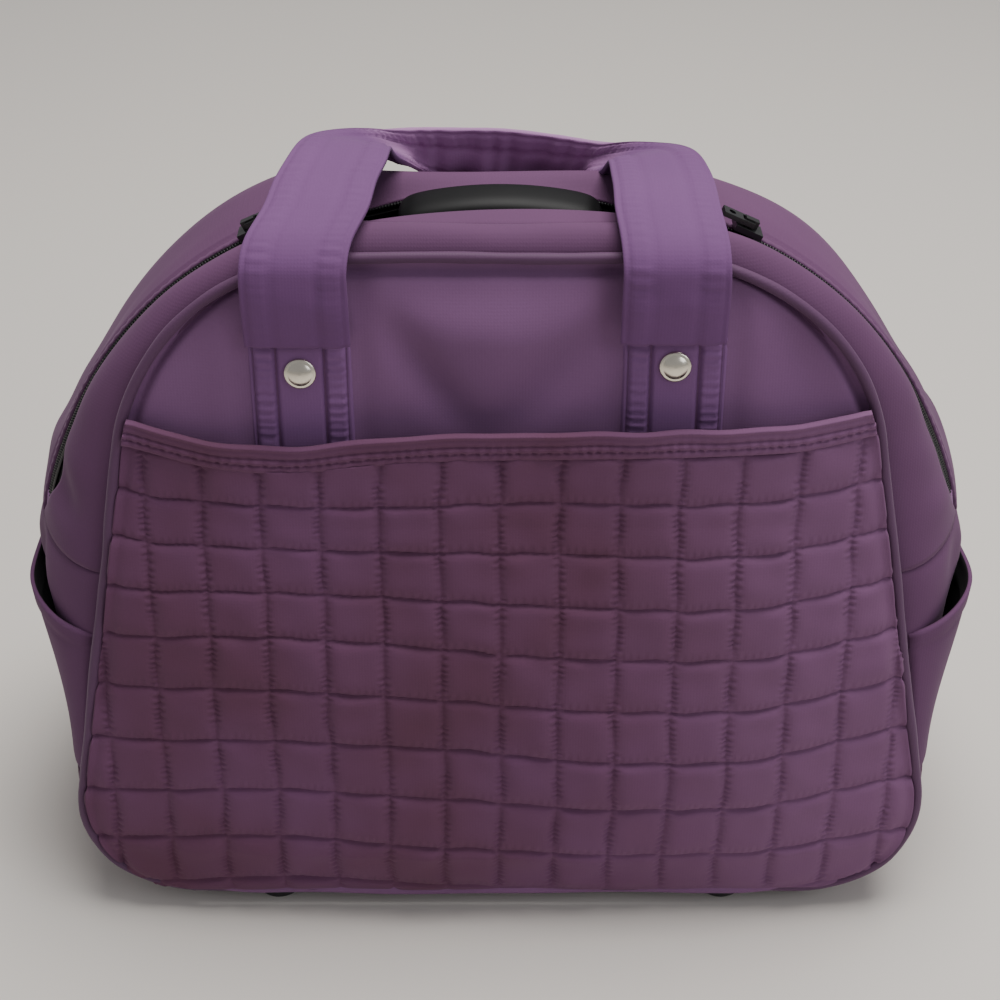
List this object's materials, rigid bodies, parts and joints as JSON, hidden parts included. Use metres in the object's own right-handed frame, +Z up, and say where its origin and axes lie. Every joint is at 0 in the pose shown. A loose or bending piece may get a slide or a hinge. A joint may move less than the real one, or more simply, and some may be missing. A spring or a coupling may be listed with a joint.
{
  "type": "rolling holdall",
  "caption": "Soft quilted holdall on two wheels with a domed zip top, front and side pockets, carry straps and a telescopic trolley handle.",
  "frame": {"origin": "on the floor under the middle of the bag", "axes": "+X across the bag to the right as seen from the front, +Y from the front to the rear, +Z up"},
  "size_m": [0.4398, 0.218, 0.3435],
  "materials": {
    "purple_fabric": "brushed microfibre",
    "base_fabric": "coated woven fabric",
    "quilted_fabric": "quilted microfibre",
    "piping_fabric": "satin piping",
    "zip_tape": "woven tape",
    "zip_coil": "satin",
    "black_metal": "satin",
    "rivet_metal": "polished, pale gold",
    "steel": "zinc plated",
    "tube_aluminium": "satin anodised",
    "board": "matt",
    "black_plastic": "matt moulded",
    "grip_plastic": "gloss moulded",
    "hub_plastic": "satin moulded",
    "black_rubber": "matt"
  },
  "bodies": {
    "bag": {"front_panel": "purple_fabric", "rear_panel": "purple_fabric", "base_panel": "base_fabric", "side_gusset_left": "purple_fabric", "side_gusset_right": "purple_fabric", "zip_gusset_front": "purple_fabric", "zip_gusset_rear": "purple_fabric", "front_piping": "piping_fabric", "rear_piping": "piping_fabric", "quilted_pocket": "quilted_fabric", "pocket_hem": "quilted_fabric", "side_pocket_left": "purple_fabric", "side_pocket_right": "purple_fabric", "side_pocket_hem_left": "purple_fabric", "side_pocket_hem_right": "purple_fabric", "zip_tape_front": "zip_tape", "zip_tape_rear": "zip_tape", "zip_coil_front": "zip_coil", "zip_coil_rear": "zip_coil", "zip_end_patches": "purple_fabric", "front_handle_tabs": "purple_fabric", "rear_handle_tabs": "purple_fabric", "front_rivets": "rivet_metal", "rear_rivets": "rivet_metal", "rivet_washers": "steel", "base_board": "board", "divider_board": "board", "upper_bracket": "black_plastic", "lower_bracket": "black_plastic", "bracket_screws": "steel", "trolley_outer_tubes": "tube_aluminium", "outer_collars": "black_plastic", "wheel_housing_left": "black_plastic", "wheel_housing_right": "black_plastic", "wheel_axles": "steel", "housing_screws": "steel", "front_feet": "black_rubber", "foot_screws": "steel"},
    "stage_1": {"trolley_middle_tubes": "tube_aluminium", "middle_collars": "black_plastic"},
    "stage_2": {"trolley_upper_tubes": "tube_aluminium", "upper_collars": "black_plastic"},
    "stage_3": {"trolley_inner_tubes": "tube_aluminium", "trolley_grip": "grip_plastic", "grip_cover": "grip_plastic", "grip_screws": "steel", "button_spring": "steel"},
    "release": {"release_button": "grip_plastic", "release_link": "steel"},
    "wheel_left": {"wheel_hub_left": "hub_plastic", "tyre_left": "black_rubber"},
    "wheel_right": {"wheel_hub_right": "hub_plastic", "tyre_right": "black_rubber"},
    "front_handle": {"front_handle_strap": "purple_fabric"},
    "rear_handle": {"rear_handle_strap": "purple_fabric"},
    "slider_left": {"zip_slider_left": "black_metal"},
    "slider_right": {"zip_slider_right": "black_metal"},
    "pull_left": {"zip_pull_left": "black_metal"},
    "pull_right": {"zip_pull_right": "black_metal"}
  },
  "joints": [
    {"name": "trolley_stage_1", "type": "slide", "parent": "bag", "child": "stage_1", "axis": [0, -0.1219, 0.9925], "range_m": [0, 0.19]},
    {"name": "trolley_stage_2", "type": "slide", "parent": "stage_1", "child": "stage_2", "axis": [0, -0.1219, 0.9925], "range_m": [0, 0.19]},
    {"name": "trolley_stage_3", "type": "slide", "parent": "stage_2", "child": "stage_3", "axis": [0, -0.1219, 0.9925], "range_m": [0, 0.19]},
    {"name": "release_press", "type": "slide", "parent": "stage_3", "child": "release", "axis": [0, -0.1219, 0.9925], "range_m": [0, 0.002], "stiffness_N_per_m": 600, "deforming": ["button_spring"]},
    {"name": "wheel_left_spin", "type": "hinge", "parent": "bag", "child": "wheel_left", "pos_m": [-0.15, 0.077, 0.028], "axis": [1, 0, 0], "continuous": true},
    {"name": "wheel_right_spin", "type": "hinge", "parent": "bag", "child": "wheel_right", "pos_m": [0.15, 0.077, 0.028], "axis": [1, 0, 0], "continuous": true},
    {"name": "front_handle_turn", "type": "hinge", "parent": "bag", "child": "front_handle", "pos_m": [0, -0.07249, 0.28295], "axis": [1, 0, 0], "range_deg": [0, 110]},
    {"name": "rear_handle_turn", "type": "hinge", "parent": "bag", "child": "rear_handle", "pos_m": [0, 0.079, 0.262], "axis": [1, 0, 0], "range_deg": [0, 160]},
    {"name": "zip_right_run", "type": "hinge", "parent": "bag", "child": "slider_right", "pos_m": [0.02, -0.038, 0.152], "axis": [0, 1, 0], "range_deg": [0, 49]},
    {"name": "zip_left_run", "type": "hinge", "parent": "bag", "child": "slider_left", "pos_m": [-0.02, -0.038, 0.152], "axis": [0, 1, 0], "range_deg": [-49, 0]},
    {"name": "pull_right_swing", "type": "hinge", "parent": "slider_right", "child": "pull_right", "pos_m": [0.1002, -0.038, 0.32391], "axis": [0, 1, 0], "range_deg": [0, 165]},
    {"name": "pull_left_swing", "type": "hinge", "parent": "slider_left", "child": "pull_left", "pos_m": [-0.1002, -0.038, 0.32391], "axis": [0, 1, 0], "range_deg": [-165, 0]}
  ]
}
